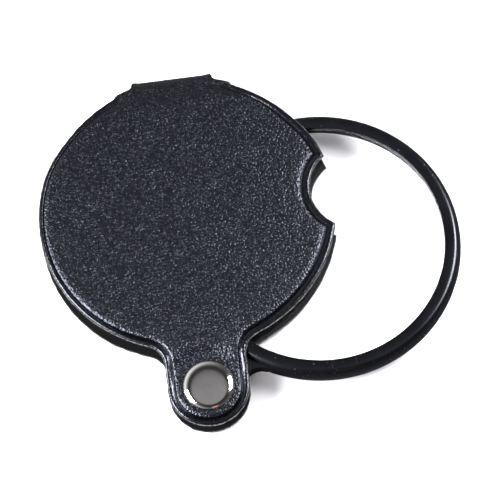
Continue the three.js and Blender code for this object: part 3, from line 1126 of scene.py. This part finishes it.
@dataclass
class LensUnit:
    """The glass, its frame with the ear, and the ring that holds the glass in.

    mouth rounds the frame's clear opening: points out from it and down from the top. foot rounds the seat
    where the glass goes in, and snap_inside and snap_outside the snap ring's lower edges. snap_lead is the
    bevel of its upper inner edge, out and down.
    """

    swing: float = 43.0
    clear_radius: float = 30.2
    seat_radius: float = 31.6
    frame_radius: float = 34.2
    side_width: float = 1.8
    half_height: float = 3.0
    lip_height: float = 1.04
    glass_radius: float = 31.5
    snap_radius: float = 30.7
    glass_edge: float = 1.4
    glass_centre: float = 6.0
    ear_radius: float = 5.5
    ear_fillet: float = 4.0
    ear_thickness: float = 3.4
    ear_bevel: float = 0.35
    ear_bevel_steps: int = 3
    ear_bevel_from: float = 60.0
    ear_root: float = 0.2
    ear_to_seat: float = 1.0
    side_steps: int = 10
    side_flat: float = 0.25
    lip_edge: float = 0.1
    frame_crease: float = 35.0
    glass_crease: float = 40.0
    mouth: Sequence[Flat] = ((0.3, 0.0), (0.13, 0.05), (0.03, 0.18), (0.0, 0.4))
    foot: Sequence[Flat] = ((0.0, 0.2), (0.15, 0.04), (0.35, 0.0))
    snap_low: float = -2.78
    snap_lead: Flat = (0.08, 0.1)
    snap_inside: Sequence[Flat] = ((0.15, 0.0), (0.05, 0.05), (0.0, 0.15))
    snap_outside: Sequence[Flat] = ((0.15, 0.0), (0.04, 0.05), (0.0, 0.15))

    @property
    def centre(self) -> Flat:
        """Return the lens's centre at rest."""
        angle = math.radians(self.swing)
        return PIVOT[0] + PIVOT_DROP * math.sin(angle), PIVOT[1] + PIVOT_DROP * math.cos(angle)

    def _at_rest(self, points: Sequence[Flat]) -> list[Flat]:
        """Turn points drawn about an upright lens at the origin to where they lie at rest."""
        angle = math.radians(-self.swing)
        cos, sin = math.cos(angle), math.sin(angle)
        cx, cy = self.centre
        return [(cx + x * cos - y * sin, cy + x * sin + y * cos) for x, y in points]

    def _rim_profile(self) -> list[Flat]:
        """Trace the frame's section, from its foot round the outside and back down the clear opening."""
        top = self.half_height
        root = self.frame_radius - self.side_width
        angles = [math.pi / 2 * i / self.side_steps for i in range(self.side_steps + 1)]
        shoulder = [(root + self.side_width * math.cos(a), top * math.sin(a)) for a in angles]
        shoulder += [(root - self.side_flat, top)]
        clear, lip, seat = self.clear_radius, self.lip_height, self.seat_radius
        inside = [(clear + out, top - down) for out, down in self.mouth]
        inside += [(clear, lip + self.lip_edge), (clear + self.lip_edge, lip), (seat, lip)]
        inside += [(seat + out, up - top) for out, up in self.foot]
        below = [(radius, -height) for radius, height in reversed(shoulder[1:])]
        return [*below, *shoulder, *inside]

    def _ear_outline(self) -> list[Flat]:
        """Trace the ear: round about the pivot, straight, and filleted into the rim."""
        right = fillet_centre(self.frame_radius, self.ear_radius, self.ear_fillet, down=True)
        toward = bearing(right, ORIGIN)
        root = -self.seat_radius - self.ear_root
        points = arc(PIVOT, self.ear_radius, 180, 360, EAR_POINTS)
        points += arc(right, self.ear_fillet, 180, toward, FILLET_POINTS)
        points += [(right[0], root), (-right[0], root)]
        points += arc((-right[0], right[1]), self.ear_fillet, 180 - toward, 0, FILLET_POINTS)
        return points

    def _build_frame(self) -> Thing:
        """Model the rim by spinning its section, and join the bevelled ear to it."""
        placed = [(r, MID_HEIGHT + z) for r, z in self._rim_profile()]
        rim = spun("black_lens_frame", placed, self.centre, ROUND_STEPS, closed=True)
        half = self.ear_thickness / 2
        outline = self._at_rest(self._ear_outline())
        ear = raised_outline("ear", outline, MID_HEIGHT - half, MID_HEIGHT + half)
        activate(ear)
        bevel = ear.modifiers.new("round_over", "BEVEL")
        bevel.width = self.ear_bevel * MM
        bevel.segments = self.ear_bevel_steps
        bevel.limit_method = "ANGLE"
        bevel.angle_limit = math.radians(self.ear_bevel_from)
        bpy.ops.object.modifier_apply(modifier=bevel.name)
        seat = round_tool(self.centre, self.seat_radius + self.ear_to_seat, SEAT_PLUG, ROUND_STEPS)
        combine(ear, seat, "DIFFERENCE")
        combine(rim, ear, "UNION")
        punch(rim)
        settle(rim)
        shade(rim, self.frame_crease)
        return rim

    def _build_glass(self) -> Thing:
        """Spin the biconvex glass."""
        sag = (self.glass_centre - self.glass_edge) / 2
        sphere = (self.glass_radius**2 + sag**2) / (2 * sag)

        def face(radius: float) -> float:
            """Return the height of a face over the middle plane."""
            return self.glass_centre / 2 - (sphere - math.sqrt(sphere**2 - radius**2))

        rings = [self.glass_radius * i / GLASS_RINGS for i in range(GLASS_RINGS + 1)]
        lower = [(r, MID_HEIGHT - face(r)) for r in rings]
        upper = [(r, MID_HEIGHT + face(r)) for r in reversed(rings)]
        glass = spun("lens", [*lower, *upper], self.centre, GLASS_STEPS, closed=False)
        shade(glass, self.glass_crease)
        return glass

    def _build_retainer(self) -> Thing:
        """Spin the snap ring behind the glass, with its edges rounded."""
        low, high = self.snap_low, -self.lip_height
        inner, outer = self.snap_radius, self.glass_radius
        profile = [(inner + aside, low + up) for aside, up in reversed(self.snap_inside)]
        profile += [(outer - aside, low + up) for aside, up in self.snap_outside]
        profile += [(outer, high), (inner + self.snap_lead[0], high), (inner, high - self.snap_lead[1])]
        placed = [(r, MID_HEIGHT + z) for r, z in profile]
        ring = spun("snap_ring", placed, self.centre, ROUND_STEPS, closed=True)
        shade(ring, self.frame_crease)
        return ring

    def build(self) -> None:
        """Build and dress the frame, the glass and the snap ring."""
        install(self._build_frame(), Body.LENS, SatinPlastic().material(), ["lens_frame"])
        install(self._build_glass(), Body.LENS, ClearGlass().material(), ["lens_glass"])
        duller = SatinPlastic(name="matt_plastic", rough=(0.42, 0.55))
        install(self._build_retainer(), Body.LENS, duller.material(), ["lens_retaining_ring"])


# ---- The studio ----


@dataclass(frozen=True)
class Softbox:
    """A square lamp that looks at the object."""

    name: str
    place: Point
    size: float
    watts: float
    colour: Point = (1.0, 1.0, 1.0)

    def build(self, target: Vector) -> None:
        """Hang the lamp, facing the target."""
        data = bpy.data.lights.new(self.name, "AREA")
        data.size = self.size
        data.energy = self.watts
        data.color = self.colour
        lamp = bpy.data.objects.new(self.name, data)
        lamp.location = self.place
        lamp.rotation_euler = (target - Vector(self.place)).to_track_quat("-Z", "Y").to_euler()
        bpy.context.scene.collection.objects.link(lamp)


@dataclass
class Studio:
    """The floor, the lamps and the camera.

    The pairs of ends are heights of a direction, and for the walls how far it points to the left one, between
    which the light changes. fill is how much stronger the room lights matt surfaces than it shows in glossy
    ones. near, the floor's size and the lamps' places and sizes are in metres.
    """

    target: Point = (13.9, -10.9, 5.0)
    distance: float = 485.0
    azimuth: float = -2.2
    elevation: float = 67.8
    roll: float = -5.3
    lens: float = 144.0
    sensor: float = 36.0
    near: float = 0.01
    left_wall: float = 1.4
    right_wall: float = 0.12
    horizon: float = 0.2
    floor_tone: Point = (0.52, 0.512, 0.53)
    floor_in_reflections: Point = (0.045, 0.045, 0.05)
    back_ceiling: float = 0.05
    ceiling: float = 0.40
    fill: float = 5.6
    sky_tone: Point = (0.97, 0.98, 1.0)
    to_left_wall: Point = (-1.0, 0.3, 0.0)
    wall_ends: Flat = (-0.3, 0.95)
    horizon_ends: Flat = (0.1, 0.45)
    side_ends: Flat = (0.5, 0.86)
    ceiling_ends: Flat = (0.895, 0.962)
    floor_size: float = 4.0
    floor_drop: float = 0.03
    lamps: tuple[Softbox, ...] = (
        Softbox("left_softbox", (-0.56, -0.10, 0.44), 0.40, 24.0),
        Softbox("right_softbox", (0.50, 0.14, 0.48), 0.30, 12.0),
        Softbox("warm_card", (0.08, -0.45, 0.33), 0.15, 0.09, (1.0, 0.42, 0.3)),
    )

    def _floor(self) -> None:
        """Lay a plain pale floor just under the case."""
        deselect_all()
        bpy.ops.mesh.primitive_plane_add(size=self.floor_size, location=(0, 0, -self.floor_drop * MM))
        floor = bpy.context.object
        floor.name = "floor"
        surface = Surface("pale_floor")
        rays = surface.add("ShaderNodeLightPath").outputs
        mirrored = surface.sum(rays["Is Glossy Ray"], rays["Is Transmission Ray"], -1.0)
        shown = surface.colours(mirrored, self.floor_tone, self.floor_in_reflections)
        surface.dress(base_color=shown, roughness=0.9, specular=0.1)
        floor.data.materials.append(surface.material)

    def _sky(self) -> None:
        """Light the room: a bright left wall, a dark right one, a dim ceiling and a dim horizon."""
        world = bpy.data.worlds.new("studio_light")
        world.use_nodes = True
        nodes = Nodes(world.node_tree)
        way = nodes.add("ShaderNodeTexCoord").outputs["Generated"]
        height = nodes.add("ShaderNodeSeparateXYZ", {"Vector": way}).outputs["Z"]
        aside = nodes.add("ShaderNodeVectorMath", {0: way, 1: self.to_left_wall})
        aside.operation = "DOT_PRODUCT"
        walls = nodes.smooth_ramp(aside.outputs["Value"], self.wall_ends, self.right_wall, self.left_wall)
        sides = nodes.smooth_ramp(height, self.horizon_ends, self.horizon, walls)
        overhead = nodes.smooth_ramp(height, self.ceiling_ends, self.back_ceiling, self.ceiling)
        room = nodes.smooth_ramp(height, self.side_ends, sides, overhead)
        matt = nodes.add("ShaderNodeLightPath").outputs["Is Diffuse Ray"]
        background = world.node_tree.nodes["Background"]
        strength = nodes.product(nodes.sum(1.0, matt, self.fill), room)
        nodes.feed(background, {"Color": (*self.sky_tone, 1), "Strength": strength})
        bpy.context.scene.world = world

    def _camera(self) -> None:
        """Set the camera at its viewing angle."""
        yaw, tilt, roll = (math.radians(a) for a in (self.azimuth, self.elevation, self.roll))
        back = Vector((math.sin(yaw) * math.cos(tilt), -math.cos(yaw) * math.cos(tilt), math.sin(tilt)))
        right = Vector((math.cos(yaw), math.sin(yaw), 0))
        up = back.cross(right)
        across = math.cos(roll) * right + math.sin(roll) * up
        upright = math.cos(roll) * up - math.sin(roll) * right
        data = bpy.data.cameras.new("camera")
        data.lens = self.lens
        data.sensor_width = self.sensor
        data.clip_start = self.near
        camera = bpy.data.objects.new("camera", data)
        turn = Matrix((across, upright, back)).transposed().to_4x4()
        place = Vector(self.target) * MM + back * self.distance * MM
        camera.matrix_world = Matrix.Translation(place) @ turn
        bpy.context.scene.collection.objects.link(camera)
        bpy.context.scene.camera = camera

    def build(self) -> None:
        """Set up the floor, the light and the camera."""
        self._floor()
        self._sky()
        for lamp in self.lamps:
            lamp.build(Vector(self.target) * MM)
        self._camera()
        bpy.context.scene.view_settings.view_transform = "Standard"
        log.info("studio: %d lamps", len(self.lamps))


def main() -> None:
    """Build the hand lens and its studio, in order."""
    logging.basicConfig(level=logging.INFO, format="%(message)s")
    Studio().build()
    PaddedCase().build()
    Rivet().build()
    LensUnit().build()


if __name__ == "__main__":
    main()
